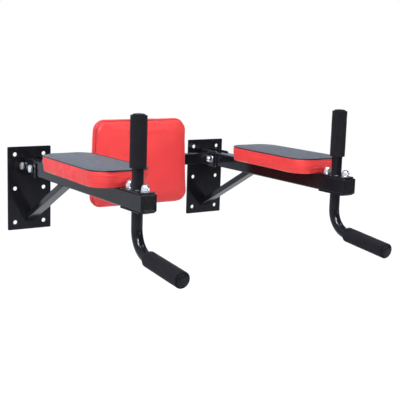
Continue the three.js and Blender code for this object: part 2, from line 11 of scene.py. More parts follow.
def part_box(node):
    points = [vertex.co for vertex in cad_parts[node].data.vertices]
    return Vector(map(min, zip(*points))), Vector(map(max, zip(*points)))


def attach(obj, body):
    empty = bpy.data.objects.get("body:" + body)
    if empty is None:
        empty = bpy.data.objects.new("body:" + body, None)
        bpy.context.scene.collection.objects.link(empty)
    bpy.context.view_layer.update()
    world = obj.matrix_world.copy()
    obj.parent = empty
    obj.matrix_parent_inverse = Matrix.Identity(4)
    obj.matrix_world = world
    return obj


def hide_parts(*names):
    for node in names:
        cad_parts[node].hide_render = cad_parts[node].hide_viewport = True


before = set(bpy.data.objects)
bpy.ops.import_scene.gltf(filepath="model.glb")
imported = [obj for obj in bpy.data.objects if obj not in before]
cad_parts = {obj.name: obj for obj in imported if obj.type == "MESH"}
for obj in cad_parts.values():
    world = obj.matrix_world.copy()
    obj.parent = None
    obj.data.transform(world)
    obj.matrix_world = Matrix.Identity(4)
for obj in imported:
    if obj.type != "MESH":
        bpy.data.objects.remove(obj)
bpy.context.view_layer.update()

# Camera, fitted to the plates and arm ends of the photograph
IMAGE_PIXELS = 400
FOCAL_PIXELS = 883.7
SENSOR_WIDTH = 36.0
CAMERA_PLACE = (-1.1874, -2.1643, 0.3874)
CAMERA_TURN = radians(-33.91)
CAMERA_PITCH = radians(10.01)
CAMERA_ROLL = radians(1.80)

# Directions, and frames that stand up, point out of the wall, lie across it and face the wall
UP = (0, 0, 1)
INWARD = (0, 1, 0)
ACROSS = (1, 0, 0)
UPRIGHT = (ACROSS, INWARD, UP)
OUTWARD = (ACROSS, UP, (0, -1, 0))
CROSSWISE = (INWARD, UP, ACROSS)
TURNED_ROUND = ((-1, 0, 0), (0, -1, 0), UP)

# Facets and edges
SHARP_ANGLE = radians(40)
TURN_STEPS = 72
HOLE_STEPS = 36
CORNER_STEPS = 6
EDGE_STEPS = 3
EDGE_RADIUS = 0.0005
MERGE_DISTANCE = 1e-7
FIT_GAP = 0.0003

# Plates and flanges
PLATE_CORNER = 0.003
HOLE_INSET = 0.020
PILOT_HOLE = 0.005
PILOT_DROP = 0.014
FLANGE_CORNER = 0.004
FLANGE_PITCH = 0.065
END_PLATE_CORNER = 0.008
BOLT_HOLE = 0.011
BOLT_PITCH = 0.054

# Bent sheet parts
BRACKET_CORNER = 0.010
BRACKET_BEND = 0.0045
CHANNEL_CORNER = 0.003
CHANNEL_BEND = 0.005
SHEET_THICKNESS = 0.003
CHANNEL_PITCH = 0.100
BEND_STATIONS = 6

# Square and round tubes
ARM_WALL = 0.002
ARM_CORNER = 0.0035
BRACE_DEPTH = 0.015
BRACE_WALL = 0.0015
BRACE_CORNER = 0.002
CROSSBAR_CORNER = 0.003
TUBE_RADIUS = 0.0125
TUBE_WALL = 0.0015
PLUG_LIP = 0.003
PLUG_EDGE = 0.0018
PLUG_STEM_INSET = 0.0023
PANEL_DEPTH = 0.0012
PANEL_INSET = 0.005
PANEL_CORNER = 0.0025

# Bent handle, foam grips and caps
HANDLE_DROP = 0.039
HANDLE_BEND = 0.055
HANDLE_ARC = HANDLE_BEND * radians(84)
HANDLE_STEPS = 28
GRIP_START = HANDLE_DROP + HANDLE_ARC + 0.004
GRIP_LENGTH = 0.130
GRIP_DIAMETER = 0.036
GRIP_EDGE = 0.0012
GRIP_EDGE_STEPS = 5
GRIP_ROWS = 34
GRIP_STEPS = 144
GRIP_RIBS = 24
RIB_DEPTH = 0.00013
GRIP_WAVE = 0.00018
GRIP_WAVES = (60, 170)
TUBE_PROUD = 0.0008
CAP_DIAMETER = 0.027
CAP_RIM = 0.0015
CAP_DOME = 0.0016
CAP_DOME_STEPS = 24
CAP_GROOVE = 0.0005
CAP_GROOVE_RADIUS = 0.0095
CAP_STEM = 0.014

# Fasteners: shank, across flats, head height, washer diameter and washer thickness
M10 = (0.010, 0.017, 0.0064, 0.021, 0.002)
M8 = (0.008, 0.013, 0.0053, 0.018, 0.0016)
FLAT_HEAD = 0.020
FLAT_HEIGHT = 0.0016
SCREW_HOLE = 0.009
ACCESS_HOLE = 0.019
OVERRUN = 0.004
NUT_HEX = 0.008
NUT_DOME = 0.016
NUT_SKIRT = 0.0005
NUT_DOME_HEIGHT = 0.006
NUT_DOME_STEPS = 12
CHAMFER_SHARE = 0.93
CHAMFER_ANGLE = radians(30)
TIP_SHARE = 0.8

# Weld beads
WELD_RADIUS = 0.0021
WELD_PITCH = 0.0019
WELD_RIPPLE = 0.14
WELD_STEP = 0.00045
WELD_SIDES = 8
WELD_WAVES = 90
WELD_WAVE_ROW = 1.89

# Cushions: height of side and crown, fullness of the crown, tuck under the board, bulge of the sides, inset
# of the board, limit of the cover's swell and its growth
PAD = {"side": 0.0358, "crown": 0.0030, "fullness": (3, 1, 0), "tuck": 0.010, "bulge": 0.0018,
       "board_inset": 0.005, "swell_cap": 0.0018, "growth": 0.02}
BACKREST = {"side": 0.0200, "crown": 0.0240, "fullness": (13, 0.5, 0.3), "tuck": 0.003, "bulge": 0.0045,
            "board_inset": 0.006, "swell_cap": 0.0030, "growth": 0.012}
OUTLINE_POINTS = 220
PAD_CORNER = 0.042
PAD_CORNER_STEPS = 14
PAD_REAR_SHARE = 137 / 150
BACK_CORNER = 0.027
BACK_CORNER_STEPS = 12
BACK_FLARE = 0.0035
BACK_OUTSET = 0.003
BACK_TOP_SHARE = 272 / 286
TUCK_STEPS = 6
SIDE_ROWS = 20
TOP_RINGS = 26
TOP_REACH = 0.97
RING_SPREAD = 1.6
SHOULDER_SHARE = 0.08
SEAM_SHARPNESS = 0.4
SMOOTH_PASSES = 4
VOXEL = 0.0045
SEAM_HOLD = 0.9 * VOXEL
CLOTH_FRAMES = 20
CLOTH_PRESSURE = 4.0
CLOTH_STIFFNESS = 20
CLOTH_BENDING = 0.8
NEAR_POINTS = 5
CREASE_DEPTH = 0.0013
CREASE_REAR_SHARE = 0.35
CREASE_FADE = 2.5
CREASE_WAVES = Vector((26, 26, 210))
PIPING_RADIUS = 0.0015
PIPING_SIDES = 10

# Colours, linear
RED_VINYL = (0.78, 0.048, 0.051, 1)
# Darkening of the backrest's piping: painted shade for the crease along its seam
SEAM_PAINTED_SHADE = 0.42
GREY_VINYL = (0.088, 0.097, 0.121, 1)
PAINT_BLACK = (0.0090, 0.0090, 0.0115, 1)
PAINT_GLINT = (0.86, 0.90, 1.0, 1)
PLASTIC_BLACK = (0.0050, 0.0053, 0.0066, 1)
FOAM_BLACK = (0.0088, 0.0086, 0.0118, 1)
CHROME_WHITE = (0.71, 0.72, 0.74, 1)
ZINC_GREY = (0.84, 0.86, 0.88, 1)
PLY_LIGHT = (0.50, 0.33, 0.17, 1)
PLY_DARK = (0.30, 0.17, 0.08, 1)
PLY_GRAIN = (900, 40, 900)
FLOOR_LIGHT = (0.74, 0.74, 0.74, 1)
FLOOR_DARK = (0.70, 0.70, 0.70, 1)
WHITE = (1, 1, 1, 1)

# Studio; a lamp has a place, a target, a size and a power, a softbox a direction, a spread and a strength
LAMPS = {
    "key": ((-4.2, -3.6, 4.6), (0, -0.3, 0), 3.4, 290),
    "top_left": ((-1.0, -1.1, 2.9), (0, -0.6, 0), 0.4, 18),
    "top_right": ((1.3, -0.9, 2.5), (0, -0.6, 0), 0.4, 15),
}
FLOOR_HEIGHT = -1.1
FLOOR_RADIUS = 7.0
FLOOR_GLOW_SHARE = 0.85
FLOOR_GLOW = 1.10
FLOOR_TINT = (1.0, 1.02, 1.08, 1)
AMBIENT = 0.68
BRIGHT_SIDE = (-0.72, 0.69, 0.0)
GLOSS_SPAN = (-0.45, 0.65)
GLOSS_DARK = (0.05, 0.055, 0.065, 1)
GLOSS_LIGHT = (1.01, 1.10, 1.30, 1)
SOFTBOX_BORDER = 1.2
SOFTBOXES = (((-0.42, -0.66, 0.62), 8, 46), ((-0.58, -0.33, 0.75), 8, 46), ((0.50, -0.86, 0.10), 4.5, 30))

SIDES = (("left", 1), ("right", -1))
HERE = Matrix.Identity(4)
MIRROR = Matrix.Scale(-1, 4, ACROSS)
scene = bpy.context.scene


# Node trees
def fed(node, *inputs, **named):
    """The node, with inputs set in order or by name, each to a value or to the socket that feeds it."""
    targets = [*node.inputs[:len(inputs)], *(node.inputs[name.replace("_", " ")] for name in named)]
    for target, value in zip(targets, [*inputs, *named.values()]):
        if isinstance(value, bpy.types.NodeSocket):
            node.id_data.links.new(value, target)
        else:
            target.default_value = value
    return node


def add_node(tree, kind, *inputs, operation=None, **named):
    node = tree.nodes.new("ShaderNode" + kind)
    if operation:
        node.operation = operation
    return fed(node, *inputs, **named)


def ranged(tree, value, *span):
    """Value moved from a low and a high to two others, which are 0 and 1 unless given."""
    return add_node(tree, "MapRange", value, *span).outputs["Result"]


def blended(tree, share, first, second):
    """Colour that goes from the first to the second as the share goes from 0 to 1."""
    node = add_node(tree, "Mix")
    node.data_type = "RGBA"
    return fed(node, Factor=share, A=first, B=second).outputs["Result"]


class Finish:
    """Procedural material with one Principled shader, fed with object coordinates."""

    def __init__(self, name, base, **sockets):
        self.material = bpy.data.materials.new(name)
        self.material.use_nodes = True
        self.tree = self.material.node_tree
        self.shader = fed(self.tree.nodes["Principled BSDF"], Base_Color=base, **sockets)
        self.place = add_node(self.tree, "TexCoord").outputs["Object"]
        self.normal = None

    def texture(self, scale, detail=None):
        """Noise, or cells where no detail is given."""
        if detail is None:
            return add_node(self.tree, "TexVoronoi", self.place, Scale=scale).outputs["Distance"]
        return add_node(self.tree, "TexNoise", self.place, Scale=scale, Detail=detail).outputs["Fac"]

    def roughness(self, value, low, high):
        fed(self.shader, Roughness=ranged(self.tree, value, 0.3, 0.7, low, high))

    def colour(self, value, low, high, dark, light):
        fed(self.shader, Base_Color=blended(self.tree, ranged(self.tree, value, low, high), dark, light))

    def bump(self, height, distance, strength):
        """Bump on top of those made before it."""
        node = add_node(self.tree, "Bump", Strength=strength, Distance=distance, Height=height)
        if self.normal:
            fed(node, Normal=self.normal)
        self.normal = node.outputs["Normal"]
        fed(self.shader, Normal=self.normal)


def shade(colour, factor):
    return tuple(channel * factor for channel in colour[:3]) + (1,)


def surface(name, base, tone, roughness, *bumps, **sockets):
    """Material from textures of a scale and a detail, or a scale alone for cells. Tone: texture, low, high
    and the base's shades there. Roughness: texture and two values. Bump: texture, height and strength."""
    finish = Finish(name, base, **sockets)
    texture, low, high, dark, light = tone
    finish.colour(finish.texture(*texture), low, high, shade(base, dark), shade(base, light))
    texture, low, high = roughness
    finish.roughness(finish.texture(*texture), low, high)
    for texture, height, strength in bumps:
        finish.bump(finish.texture(*texture), height, strength)
    return finish.material


def vinyl(name, colour):
    """Coated upholstery cloth with a pebbled grain over a slack undulation."""
    return surface(name, colour, ((14, 4), 0.3, 0.72, 0.93, 1.04), ((120, 4), 0.42, 0.56),
                   ((820,), 0.00016, 0.4), ((1900, 2), 0.00005, 0.4), ((70, 3), 0.0006, 0.25),
                   Specular_IOR_Level=0.32)


def plywood():
    """Birch plywood: long grain on the faces, with open pores."""
    board = Finish("plywood", PLY_LIGHT)
    board.place = add_node(board.tree, "Mapping", board.place, Scale=PLY_GRAIN).outputs["Vector"]
    fibres = board.texture(1.0, 5)
    board.colour(fibres, 0.35, 0.7, PLY_DARK, PLY_LIGHT)
    board.roughness(fibres, 0.62, 0.8)
    board.bump(fibres, 0.0002, 0.5)
    return board.material


MATERIALS = {
    # Gloss powder coat with a faint orange peel
    "frame_paint": surface(
        "gloss_powder_coat", PAINT_BLACK, ((26, 3), 0.3, 0.7, 0.85, 1.2), ((55, 4), 0.11, 0.18),
        ((420, 1), 0.00006, 0.35), ((2600,), 0.00002, 0.15),
        Specular_IOR_Level=0.17, Specular_Tint=PAINT_GLINT),
    "chrome_plate": surface(
        "chrome_plate", CHROME_WHITE, ((160, 3), 0.35, 0.7, 0.94, 1.0), ((700, 5), 0.24, 0.34),
        ((900, 2), 0.00001, 0.3), Metallic=1.0),
    "zinc_steel": surface(
        "bright_zinc", ZINC_GREY, ((380, 4), 0.3, 0.7, 0.86, 1.06), ((900, 4), 0.40, 0.56),
        ((2600, 2), 0.00001, 0.5), Metallic=1.0),
    # Closed-cell foam with small open pores at its skin
    "grip_foam": surface(
        "grip_foam", FOAM_BLACK, ((1150,), 0.12, 0.5, 0.78, 1.15), ((300, 4), 0.82, 0.96),
        ((1150,), 0.00035, 0.5), ((260, 4), 0.0004, 0.35), Sheen_Weight=0.02, Specular_IOR_Level=0.12),
    # Moulding with a fine spark-eroded grain
    "black_plastic": surface(
        "moulded_plastic", PLASTIC_BLACK, ((90, 3), 0.3, 0.7, 0.85, 1.2), ((1500, 3), 0.19, 0.30),
        ((2800, 2), 0.00003, 0.4), Specular_IOR_Level=0.2),
    "red_vinyl": vinyl("red_vinyl", RED_VINYL),
    "grey_vinyl": vinyl("grey_vinyl", GREY_VINYL),
    "board": plywood(),
}


# Meshes
def put(name, data):
    thing = bpy.data.objects.new(name, data)
    scene.collection.objects.link(thing)
    return thing


def mesh_of(name, bm):
    mesh = bpy.data.meshes.new(name)
    bm.to_mesh(mesh)
    bm.free()
    return mesh


def add_piece(name, bm, place, slot, replaces=()):
    """Puts a finished mesh in the scene as a piece of the object."""
    bmesh.ops.transform(bm, matrix=place, verts=bm.verts)
    bmesh.ops.recalc_face_normals(bm, faces=bm.faces)
    mesh = mesh_of(name, bm)
    mesh.materials.append(MATERIALS[slot])
    mesh.shade_smooth()
    mesh.set_sharp_from_angle(angle=SHARP_ANGLE)
    piece = put(name, mesh)
    piece.modifiers.new("normals", "WEIGHTED_NORMAL").keep_sharp = True
    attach(piece, "root")
    if replaces:
        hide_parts(*replaces)
    return piece


def dress(node, bm, place=HERE, slot="frame_paint"):
    """Adds a piece that stands for one solid."""
    return add_piece(f"{node}_fine", bm, place, slot, (node,))


def middle(node):
    low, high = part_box(node)
    return (low + high) / 2


def axes(place, first, second, third):
    """Matrix that sends local u, v and w to three directions, from a place."""
    return Matrix.Translation(place) @ Matrix((first, second, third)).transposed().to_4x4()


def seat(node, way, at=(0, 0, -1)):
    """Frame on a node's box, and the box's sizes along it. At is -1, 0 or 1 along u, v and w, for an origin
    at the near side, in the middle or at the far side."""
    low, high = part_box(node)
    size = Vector([abs((high - low).dot(Vector(direction))) for direction in way])
    shift = Matrix.Translation([side * length / 2 for side, length in zip(at, size)])
    return axes((low + high) / 2, *way) @ shift, size


def aimed(place, direction):
    """Matrix that sends local w to one direction, from a place."""
    return Matrix.Translation(place) @ direction.to_track_quat("Z", "X").to_matrix().to_4x4()


def along(node, direction):
    """Frame of a turned piece whose axis runs through a node's box from its near end, and its length."""
    low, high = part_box(node)
    direction = Vector(direction)
    length = abs((high - low).dot(direction))
    return aimed((low + high) / 2 - direction * (length / 2), direction), length


def threes(row):
    """Each item of a closed row, between the one before it and the one after it."""
    return zip(row[-1:] + row[:-1], row, row[1:] + row[:1])


def band(bm, low, high):
    for (_, first, second), (_, fourth, third) in zip(threes(low), threes(high)):
        bm.faces.new((first, second, third, fourth))


def loft(rings, closed=False):
    """Skin through rings of equally many points; the first and last ring are filled unless closed."""
    bm = bmesh.new()
    rows = [[bm.verts.new(point) for point in ring] for ring in rings]
    for low, high in zip(rows, rows[1:] + rows[:1] if closed else rows[1:]):
        band(bm, low, high)
    if not closed:
        for row in (rows[0], rows[-1]):
            if (row[0].co - row[len(row) // 2].co).length > MERGE_DISTANCE:
                fill(bm, row)
    bmesh.ops.remove_doubles(bm, verts=bm.verts, dist=MERGE_DISTANCE)
    return bm


def fill(bm, row):
    """Closes a ring with a strip of quads from side to side."""
    count = len(row)
    for index in range(count // 2 - 1):
        bm.faces.new((row[index], row[index + 1], row[count - 2 - index], row[count - 1 - index]))


def rounded(corners, radius, steps=CORNER_STEPS):
    """Outline with straight sides and round corners, from corners listed anticlockwise."""
    points = []
    for last, corner, later in threes([Vector(corner) for corner in corners]):
        before, after = (last - corner).normalized(), (later - corner).normalized()
        half = before.angle(after) / 2
        centre = corner + (before + after).normalized() * radius / sin(half)
        first = corner + before * radius / tan(half) - centre
        start = atan2(first.y, first.x)
        sweep = pi - 2 * half
        for step in range(steps + 1):
            angle = start + sweep * step / steps
            points.append(centre + radius * Vector((cos(angle), sin(angle))))
    return points


def rectangle(width, height, radius):
    x, y = width / 2, height / 2
    return rounded([(-x, -y), (x, -y), (x, y), (-x, y)], radius)


def tapered(bottom, top, height, radius, steps):
    """Rounded outline on v = 0 that is wider at one end."""
    corners = [(-bottom / 2, 0), (bottom / 2, 0), (top / 2, height), (-top / 2, height)]
    return rounded(corners, radius, steps)


def round_hole(x, y, diameter):
    """Clockwise circle, which is a hole in a slab."""
    turn = -2 * pi / HOLE_STEPS
    return [Vector((x, y)) + diameter / 2 * Vector((cos(turn * step), sin(turn * step)))
            for step in range(HOLE_STEPS)]


def drawn_in(points, distance):
    """Outline moved to its left by a distance, into the material."""
    result = []
    for last, point, later in threes(points):
        before, after = (point - last).normalized(), (later - point).normalized()
        left = Vector((-before.y - after.y, before.x + after.x))
        result.append(point + left * (2 * distance / left.length_squared))
    return result


def raised(outline, height):
    """Points of a flat outline at a height along w."""
    return [Vector((*point, height)) for point in outline]


def edge_profile(thickness, radius):
    """Insets and heights of a rolled edge, from the lower face round to the upper one."""
    turns = [pi / 2 * step / EDGE_STEPS for step in range(EDGE_STEPS + 1)]
    lower = [(radius * (1 - sin(turn)), radius * (1 - cos(turn))) for turn in turns]
    return lower + [(inset, thickness - height) for inset, height in reversed(lower)]


def slab(outline, holes, thickness):
    """Flat sheet on w = 0 with rolled edges and drilled holes."""
    bm = bmesh.new()
    faces = {0: [], -1: []}
    for loop in (outline, *holes):
        rows = [[bm.verts.new(point) for point in raised(drawn_in(loop, inset), height)]
                for inset, height in edge_profile(thickness, EDGE_RADIUS)]
        for low, high in zip(rows, rows[1:]):
            band(bm, low, high)
        for row, rims in faces.items():
            rims += [bm.edges.get((first, second)) for _, first, second in threes(rows[row])]
    for rims in faces.values():
        bmesh.ops.triangle_fill(bm, use_beauty=True, edges=rims, normal=UP)
    return bm


def folded(bm, ear, bend, web):
    """Bends a flat strip along u into a U whose web lies on v = 0 and whose ears point to -v."""
    arc = bend * pi / 2
    for start in (ear, ear + arc + web):
        for step in range(BEND_STATIONS + 1):
            station = start + arc * step / BEND_STATIONS
            parts = bm.verts[:] + bm.edges[:] + bm.faces[:]
            bmesh.ops.bisect_plane(bm, geom=parts, plane_co=(station, 0, 0), plane_no=ACROSS)
    for vertex in bm.verts:
        travel, height, depth = vertex.co
        place, outward = fold_line(travel, ear, bend, web)
        vertex.co = (*(place - outward * depth), height)
    return bm


def fold_line(travel, ear, bend, web):
    """Point and outward direction on the outer face of a U, at a distance along it."""
    arc = bend * pi / 2
    if travel > ear + arc + web / 2:
        place, outward = fold_line(2 * (ear + arc) + web - travel, ear, bend, web)
        return Vector((-place.x, place.y)), Vector((-outward.x, outward.y))
    if travel < ear:
        return Vector((-web / 2 - bend, -bend - ear + travel)), Vector((-1, 0))
    angle = min((travel - ear) / bend, pi / 2)
    outward = Vector((-cos(angle), sin(angle)))
    beyond = max(travel - ear - arc, 0)
    return Vector((-web / 2 + beyond, -bend)) + bend * outward, outward


def ring_of(radius, height, steps=TURN_STEPS):
    turn = 2 * pi / steps
    return [Vector((radius * cos(turn * step), radius * sin(turn * step), height)) for step in range(steps)]


def turned(profile, closed=False, steps=TURN_STEPS):
    """Solid of revolution about w from points of radius and height; closed is for one with a bore."""
    return loft([ring_of(radius, height, steps) for radius, height in profile], closed)


def arc_profile(radius, height, size, start, end, steps=EDGE_STEPS):
    """Radii and heights on an arc about a point of the profile."""
    angles = [radians(start + (end - start) * step / steps) for step in range(steps + 1)]
    return [(radius + size * cos(angle), height + size * sin(angle)) for angle in angles]


def hexagon_ring(across, height, falling):
    """Ring of a hexagon whose corners are cut by a cone; falling is -1 at its top and 1 at its bottom."""
    ring = []
    for step in range(TURN_STEPS):
        angle = 2 * pi * step / TURN_STEPS
        reach = across / 2 / cos(angle % (pi / 3) - pi / 6)
        chamfer = (reach - across / 2 * CHAMFER_SHARE) * tan(CHAMFER_ANGLE)
        ring.append(Vector((reach * cos(angle), reach * sin(angle), height + falling * chamfer)))
    return ring


def tube_between(outline, start, end, wall):
    """Straight hollow tube; start and end turn an outline point into its place on each end face."""
    inner = drawn_in(outline, wall)
    faces = ((start, outline), (end, outline), (end, inner), (start, inner))
    return loft([[placed(point) for point in line] for placed, line in faces], closed=True)


def swept(path, radius_at, sides, lift=UP):
    """Round section along a closed path of points; radius_at gives the radius at each of them."""
    rings = []
    for index, (last, point, later) in enumerate(threes(path)):
        tangent = (later - last).normalized()
        side = tangent.cross(Vector(lift)).normalized()
        top = side.cross(tangent)
        rings.append([point + p.x * side + p.y * top for p in ring_of(radius_at(index), 0, sides)])
    return loft(rings, closed=True)


def spaced(points, count):
    """Points at even distances round a closed path."""
    lengths = [(later - point).length for _, point, later in threes(points)]
    step = sum(lengths) / count
    result, index, travelled = [], 0, 0.0
    for number in range(count):
        target = number * step
        while travelled + lengths[index] < target:
            travelled += lengths[index]
            index += 1
        share = (target - travelled) / lengths[index]
        result.append(points[index].lerp(points[(index + 1) % len(points)], share))
    return result


def drilled(bm, bores):
    """Mesh with round bores cut out of it, each of a start, an end and a diameter."""
    rods = bmesh.new()
    for start, end, diameter in bores:
        run = Vector(end) - Vector(start)
        rod = mesh_of("rod", turned([(diameter / 2, 0), (diameter / 2, run.length)], steps=HOLE_STEPS))
        rod.transform(aimed(start, run))
        rods.from_mesh(rod)
        bpy.data.meshes.remove(rod)
    holders = []
    for name, shape in (("blank", bm), ("drill", rods)):
        bmesh.ops.recalc_face_normals(shape, faces=shape.faces)
        holders.append(put(name, mesh_of(name, shape)))
    blank, drill = holders
    cut = blank.modifiers.new("cut", "BOOLEAN")
    cut.object = drill
    cut.solver = "EXACT"
    result = bmesh.new()
    result.from_mesh(blank.evaluated_get(bpy.context.evaluated_depsgraph_get()).data)
    for holder in holders:
        bpy.data.objects.remove(holder)
    return result


# Steel frame
def dress_plate(node, way, corner, holes):
    """Flat plate that is thin along w; a hole has a place along u and v and a diameter."""
    place, size = seat(node, way)
    outline = rectangle(size.x, size.y, corner)
    dress(node, slab(outline, [round_hole(*hole) for hole in holes], size.z), place)


def dress_plates(arm):
    """Wall plate, the two flanges of the handles, and the crossbar's end plate."""
    size = seat(f"wall_plate_{arm}", OUTWARD)[1]
    x, y = size.x / 2 - HOLE_INSET, size.y / 2 - HOLE_INSET
    holes = [(side * x, row * y, BOLT_HOLE) for side in (-1, 1) for row in (-1, 0, 1)]
    holes.append((x, y - PILOT_DROP, PILOT_HOLE))
    dress_plate(f"wall_plate_{arm}", OUTWARD, PLATE_CORNER, holes)
    holes = [(0, side * FLANGE_PITCH / 2, BOLT_HOLE) for side in (-1, 1)]
    dress_plate(f"post_flange_{arm}", UPRIGHT, FLANGE_CORNER, holes)
    dress_plate(f"handle_flange_{arm}", UPRIGHT, FLANGE_CORNER, holes)
    holes = [(side * BOLT_PITCH / 2, 0, BOLT_HOLE) for side in (-1, 1)]
    dress_plate(f"crossbar_end_plate_{arm}", CROSSWISE, END_PLATE_CORNER, holes)


def dress_channel(node, way, corner, bend, hole, spots_on):
    """Sheet bent into a U; spots_on gives the distances of its holes from one end, on a given length."""
    place, size = seat(node, way, (0, 1, 0))
    ear, web = size.y - bend, size.x - 2 * bend
    length = 2 * (ear + bend * pi / 2) + web
    spots = spots_on(length)
    holes = [round_hole(u, 0, hole) for u in (*spots, *(length - spot for spot in spots))]
    outline = [point + Vector((length / 2, 0)) for point in rectangle(length, size.z, corner)]
    dress(node, folded(slab(outline, holes, SHEET_THICKNESS), ear, bend, web), place)


def dress_arm_bracket(arm):
    node = f"arm_bracket_{arm}"
    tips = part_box(node)[0].y
    spots = [middle(f"bracket_bolt_{end}_{arm}").y - tips for end in ("front", "rear")]
    dress_channel(node, UPRIGHT, BRACKET_CORNER, BRACKET_BEND, BOLT_HOLE, lambda length: spots)


def dress_box_tube(node, way, corner, bores):
    """Drilled box tube that runs along w."""
    place, size = seat(node, way)
    bm = tube_between(rectangle(size.x, size.y, corner), lambda p: place @ Vector((*p, 0)),
                      lambda p: place @ Vector((*p, size.z)), ARM_WALL)
    dress(node, drilled(bm, bores))


def dress_arm_tube(arm):
    """Arm with its holes: cross bolts, handle bolts, pad screws and openings for the screws' heads."""
    node = f"arm_tube_{arm}"
    low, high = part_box(node)
    x, _, z = (low + high) / 2
    left, right = low.x - OVERRUN, high.x + OVERRUN
    bottom, top = low.z - OVERRUN, high.z + OVERRUN
    bores = []
    for end in ("rear", "front"):
        cross, upright, screw = (middle(f"{part}_{end}_{arm}").y
                                 for part in ("bracket_bolt", "handle_bolt", "pad_screw"))
        bores += [((left, cross, z), (right, cross, z), BOLT_HOLE),
                  ((x, upright, bottom), (x, upright, top), BOLT_HOLE),
                  ((x, screw, z + OVERRUN), (x, screw, top), SCREW_HOLE),
                  ((x, screw, bottom), (x, screw, z - OVERRUN), ACCESS_HOLE)]
    dress_box_tube(node, OUTWARD, ARM_CORNER, bores)


def dress_crossbar():
    low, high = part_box("crossbar")
    rear, front, z = high.y + OVERRUN, low.y - OVERRUN, (low.z + high.z) / 2
    bores = [((x, rear, z), (x, front, z), SCREW_HOLE) for x in (-CHANNEL_PITCH / 2, CHANNEL_PITCH / 2)]
    dress_box_tube("crossbar", CROSSWISE, CROSSBAR_CORNER, bores)


def dress_arm_end_plug(arm):
    """Plug with a lip over the tube's end and a sunk panel in its face."""
    node = f"arm_end_plug_{arm}"
    place, size = seat(node, OUTWARD)
    face, mouth, sunk = size.z, size.z - PLUG_LIP, size.z - PANEL_DEPTH
    stem, panel = size.x - 2 * PLUG_STEM_INSET, size.x - 2 * PANEL_INSET
    soft = 2 * EDGE_RADIUS
    sections = [(stem - 2 * soft, ARM_CORNER - soft, 0), (stem, ARM_CORNER - soft, soft),
                (stem, ARM_CORNER - soft, mouth), (size.x, ARM_CORNER, mouth)]
    sections += [(size.x - 2 * inset, ARM_CORNER - inset, mouth + height)
                 for inset, height in edge_profile(PLUG_LIP, PLUG_EDGE)[EDGE_STEPS + 1:]]
    sections += [(panel + 2 * soft, PANEL_CORNER + soft, face),
                 (panel + soft / 2, PANEL_CORNER + soft / 2, face - soft / 3),
                 (panel, PANEL_CORNER, face - soft), (panel, PANEL_CORNER, sunk + EDGE_RADIUS / 2),
                 (panel - 2 * EDGE_RADIUS, PANEL_CORNER - EDGE_RADIUS, sunk)]
    rings = [raised(rectangle(width, width, corner), height) for width, corner, height in sections]
    dress(node, loft(rings), place, "black_plastic")


def brace_ends(arm):
    """Section of the brace, and functions that put its points on the wall plate and under the arm."""
    low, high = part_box(f"arm_brace_{arm}")
    slope = atan2(high.z - low.z, high.y - low.y)
    length = (high.z - low.z) / sin(slope)
    foot = ((low.x + high.x) / 2, high.y, low.z)
    line = axes(foot, ACROSS, (0, sin(slope), cos(slope)), (0, -cos(slope), sin(slope)))
    section = rectangle(high.x - low.x, BRACE_DEPTH, BRACE_CORNER)
    return ([p + Vector((0, BRACE_DEPTH / 2)) for p in section],
            lambda p: line @ Vector((*p, p.y * tan(slope))),
            lambda p: line @ Vector((*p, length - p.y / tan(slope))))


# Grips and handles
def dress_foam(node, place, length, seed):
    """Foam sleeve about w, with fine ribs along it and a little uneven."""
    inner, outer, soft = TUBE_RADIUS + FIT_GAP, GRIP_DIAMETER / 2, GRIP_EDGE
    profile = [(inner, 0)] + arc_profile(outer - soft, soft, soft, -90, 0, GRIP_EDGE_STEPS)
    profile += [(outer, soft + (length - 2 * soft) * row / GRIP_ROWS) for row in range(1, GRIP_ROWS)]
    profile += arc_profile(outer - soft, length - soft, soft, 0, 90, GRIP_EDGE_STEPS) + [(inner, length)]
    bm = turned(profile, closed=True, steps=GRIP_STEPS)
    wide, narrow = GRIP_WAVES
    for vertex in bm.verts:
        flat = Vector((vertex.co.x, vertex.co.y, 0))
        if flat.length > inner + soft / 2:
            swell = noise.noise(vertex.co * wide + Vector((seed, 0, 0))) + noise.noise(vertex.co * narrow) / 2
            rib = cos(GRIP_RIBS * atan2(flat.y, flat.x))
            vertex.co += flat.normalized() * (GRIP_WAVE * swell + RIB_DEPTH * rib)
    dress(node, bm, place, "grip_foam")


def dress_cap(node, place):
    """Domed plug whose rim starts at w = 0."""
    stem, rim = TUBE_RADIUS - TUBE_WALL - FIT_GAP, CAP_DIAMETER / 2
    soft = CAP_RIM / 3
    sphere = (rim * rim + CAP_DOME * CAP_DOME) / (2 * CAP_DOME)
    spread = degrees(asin((rim - soft) / sphere))
    dome = arc_profile(0, CAP_RIM + CAP_DOME - sphere, sphere, 90 - spread, 90, CAP_DOME_STEPS)[1:]
    dome = [(radius, height - CAP_GROOVE * (abs(radius - CAP_GROOVE_RADIUS) < CAP_GROOVE))
            for radius, height in dome]
    profile = [(0, -CAP_STEM), (stem - soft, -CAP_STEM), (stem, -CAP_STEM + soft), (stem, 0), (rim - soft, 0)]
    profile += arc_profile(rim - soft, soft, soft, -90, 0)[1:]
    profile += arc_profile(rim - soft, CAP_RIM - soft, soft, 0, 80) + dome
    dress(node, turned(profile), place, "black_plastic")


def dress_upright(arm):
    """Post, foam grip and end cap on top of the arm."""
    post, grip = f"grip_post_{arm}", f"post_grip_{arm}"
    place, height = along(post, UP)
    outer, inner, soft = TUBE_RADIUS, TUBE_RADIUS - TUBE_WALL, EDGE_RADIUS
    profile = [(outer, 0), (outer, height - soft), (outer - soft, height), (inner, height), (inner, 0)]
    dress(post, turned(profile, closed=True), place)
    dress_foam(grip, *along(grip, UP), len(arm))
    dress_cap(f"post_cap_{arm}", seat(post, UPRIGHT, UP)[0])


